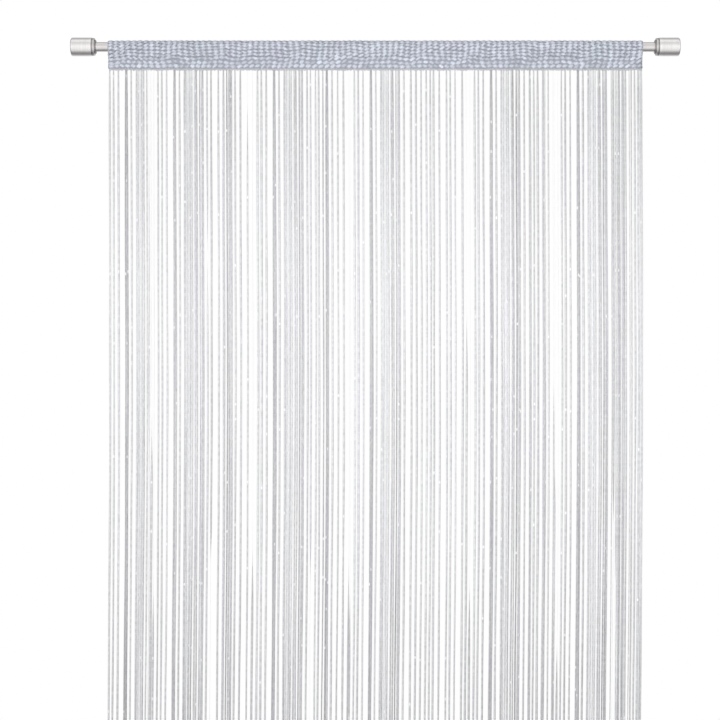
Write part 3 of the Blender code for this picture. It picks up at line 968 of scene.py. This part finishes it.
def hanging_strings(name, table, finish, seed):
    """The yarns of a run of strings.
    A yarn's middle is its place in the last row, plus a drift that all share, (0.3 + 4.3 h) sin(7.3 h) millimetres at
    the share h of the hanging length, plus slow sines of its own that start from nothing at the top. Its flat section
    turns slowly about its length, and a tape's goes from its first turn to its second as 3t^2 - 2t^3, where t runs
    from 0 to 1 between its two shares. A yarn is gathered narrow where it is knitted in, and its tip is rounded. A
    tape is paler where it stands edge on, as painted light, and all are darker at the top and far down as painted
    shade."""
    chance = np.random.default_rng(seed)
    count = len(table)
    x0, half, thick, step, light, order, above, below, start, end = np.array(table).T[:, :, None]
    share = np.append(np.linspace(0, 1, STRING_RINGS - 1) ** 1.06, 1 + TIP)[None, :] / (1 + TIP)
    z = STRING_TOP + (STRING_END - STRING_TOP) * share
    cut = CUT_UNEVEN * chance.random((count, 1))
    z = z + cut * share**8
    hang = ((HEADING_BOTTOM - z) / (HEADING_BOTTOM - STRING_END)).clip(0, 1)
    part = ((hang - start) / (end - start)).clip(0, 1)
    sideways = (0.0003 + 0.0043 * hang) * np.sin(7.3 * hang)
    forward = 0.0011 * np.sin(5.1 * hang)
    loose = 1 - np.exp(-hang * 12)
    own = chance.random((count, 6)).T[:, :, None] * math.tau
    sway = sum(far * np.sin(hang * rate + phase) for (far, rate), phase in zip(SWAY, own[:2]))
    lean = sum(far * np.sin(hang * rate + phase) for (far, rate), phase in zip(LEAN, own[2:4]))
    spread = 0.55 + 0.45 * loose
    x = x0 + step * spread + sideways + sway * loose
    y = -forward + 0.0008 * np.sin(2.4 * order) * hang + lean * loose
    turn = TWIST * thick / STRING_DEEP * np.sin(hang * 14 + own[4]) * loose
    turn = turn + above + (below - above) * part**2 * (3 - 2 * part)
    centre = vectors(x, y, z)
    # side x out has to run down the string
    out = vectors(np.sin(turn), -np.cos(turn), 0.0)
    side = vectors(np.cos(turn), np.sin(turn), 0.0)
    gather = 1 - GATHER * np.exp(-hang * 60)
    taper = np.where(share == 1, 0.6, 1.0)
    size = 1 + 0.10 * chance.standard_normal((count, 1)).clip(-1.8, 1.8)
    wide = half * size * gather * taper * (1 + 0.06 * np.sin(hang * 40 + own[5]))
    deep = thick * taper + 0 * wide
    # Painted shade at the top of each string, and painted light where a tape turns edge on
    tone = light + TONE_SPREAD * chance.standard_normal((count, 1)) - TOP_SHADE * np.exp(-hang / TOP_REACH)
    tone = tone + EDGE_ON_PAINTED_LIGHT * (1 - thick / STRING_DEEP) * np.sin(turn) ** 2
    # Painted shade further down the strings
    for first, over in DARKER:
        tone = tone - FAR_SHADE * ((hang - first) / over).clip(0, 1)
    return carried(name, centre, side, out, wide, deep, STRING_SIDES, finish, tone)


silver_yarn, lilac_yarn = (
    yarn_finish(name, colours, 0.0030, relief=0.0003, rough=0.5, arrows=1.0, patches=PATCHES, foil=GLINT_PAINT_SHARE)
    for name, colours in (("silver string yarn", SILVER_COLOURS), ("lilac bundle yarn", LILAC_COLOURS))
)
singles = sorted(yarn_table("single", "thin", "fine") + tape_table())
half = len(singles) // 2
strings = [
    hanging_strings("strings_single_left", singles[:half], silver_yarn, 101),
    hanging_strings("strings_single_right", singles[half:], silver_yarn, 103),
    hanging_strings("strings_bundled", yarn_table("pair", "bundle", "band", "soft", "dark"), lilac_yarn, 107),
]
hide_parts("string_fringe")

for obj in (front_rows, back_rows, chains, seam, edge):
    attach(obj, "root")
for obj in strings:
    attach(obj, "root")

# The photographer's table: a pale round floor below the strings, plain soft light and white air all round.
FLOOR_Z = STRING_END - 0.03
FLOOR_RADIUS = 3.4
FLOOR_SIDES = 128
FLOOR_COLOUR = (0.86, 0.86, 0.86, 1.0)
FLOOR_GLOW = 0.42
AIR_GLOSS = 1.05
WALL_GLOSS = 0.50
AIR_SOFT = 0.38

# How bright the white air is to everything but the camera. Columns: degrees up from the front and over, brightness
AIR = (
    (-180, 0.72), (-156, 0.80), (-136, 0.52), (-115, 0.28), (-98, 0.23), (-82, 0.30), (-66, 0.54),
    (-52, 0.78), (-24, 0.94), (-5, 1.00), (8, 0.97), (22, 0.82), (36, 0.72), (48, 0.68),
    (58, 0.76), (70, 1.00), (80, 0.86), (98, 0.62), (112, 0.46), (150, 0.46), (180, 0.72),
)

floor_paint, tree, shader = new_material("pale floor", {"Base Color": FLOOR_COLOUR, "Roughness": 0.9})
seen = add(tree, "LightPath").outputs["Is Camera Ray"]
glow = maths(tree, "MULTIPLY", seen, FLOOR_GLOW)
feed(tree, shader, {"Emission Color": (1.0, 1.0, 1.0, 1.0), "Emission Strength": glow})
turn = np.arange(FLOOR_SIDES) * math.tau / FLOOR_SIDES
rim = vectors(ROD_SPAN / 2 + FLOOR_RADIUS * np.cos(turn), FLOOR_RADIUS * np.sin(turn), FLOOR_Z)
floor = mesh_piece("floor", rim, np.arange(FLOOR_SIDES), np.array([FLOOR_SIDES]), floor_paint)
floor.visible_glossy = False

world = bpy.data.worlds.new("white air")
bpy.context.scene.world = world
world.use_nodes = True
tree = world.node_tree
tree.nodes.clear()
direction = add(tree, "TexCoord").outputs["Generated"]
split = add(tree, "SeparateXYZ", {0: direction}).outputs
height = maths(tree, "ARCTAN2", split["Z"], maths(tree, "MULTIPLY", split["Y"], -1.0))
sky = add(tree, "ValToRGB", {"Fac": ranged(tree, height, -math.pi, math.pi)})
for degrees, value in AIR[1:-1]:
    stop = sky.color_ramp.elements.new((degrees + 180) / 360)
    stop.color = (value, value, value, 1.0)
for stop, (degrees, value) in ((0, AIR[0]), (-1, AIR[-1])):
    sky.color_ramp.elements[stop].position = (degrees + 180) / 360
    sky.color_ramp.elements[stop].color = (value, value, value, 1.0)

# Steel mirrors two dark side walls behind the curtain, which draw its grooves and end faces
behind = maths(tree, "GREATER_THAN", split["Y"], 0.0)
wall = maths(tree, "MULTIPLY", maths(tree, "ABSOLUTE", split["X"]), behind)
dim = ranged(tree, wall, 0.40, 0.65, AIR_GLOSS, WALL_GLOSS)
path = add(tree, "LightPath").outputs
strength = ranged(tree, path["Is Diffuse Ray"], low=dim, high=AIR_SOFT)
soft = add(tree, "Background", {"Color": sky.outputs["Color"], "Strength": strength})
white = add(tree, "Background", {"Color": (1.0, 1.0, 1.0, 1.0)})
sockets = {"Fac": path["Is Camera Ray"], 1: soft.outputs[0], 2: white.outputs[0]}
either = add(tree, "MixShader", sockets)
add(tree, "OutputWorld", {"Surface": either.outputs[0]})


def soft_light(name, kind, place, aim, power, **shape):
    """A soft light at a place, turned so that it shines at the aim. Polished steel doesn't mirror it."""
    data = bpy.data.lights.new(name, kind)
    data.energy = power
    for key, value in shape.items():
        setattr(data, key, value)
    obj = bpy.data.objects.new(name, data)
    bpy.context.scene.collection.objects.link(obj)
    obj.location = place
    obj.rotation_euler = (Vector(aim) - Vector(place)).to_track_quat("-Z", "Y").to_euler()
    obj.visible_camera = False
    obj.visible_glossy = False


soft_light("bank", "AREA", (0.51, -1.0, -0.46), (0.51, 0.0, -0.46), 7.7, shape="RECTANGLE", size=1.7, size_y=0.5)
soft_light("key", "SUN", (-1.9, -2.0, 1.5), (0.5, 0.0, 0.0), 1.1, angle=math.radians(14))
soft_light("back", "SUN", (1.4, 2.5, -0.2), (0.5, 0.0, -0.4), 2.2, angle=math.radians(30))

# The camera stands level with the middle of the picture, straight in front, at the photograph's distance.
camera_data = bpy.data.cameras.new("camera")
camera_data.lens = 84.87
camera_data.sensor_width = 36.0
camera_data.clip_start = 0.05
camera = bpy.data.objects.new("camera", camera_data)
bpy.context.scene.collection.objects.link(camera)
camera.location = (0.4867, -2.862, -0.5278)
camera.rotation_euler = (math.pi / 2, 0.0, 0.0)
bpy.context.scene.camera = camera
bpy.context.scene.view_settings.view_transform = "Standard"
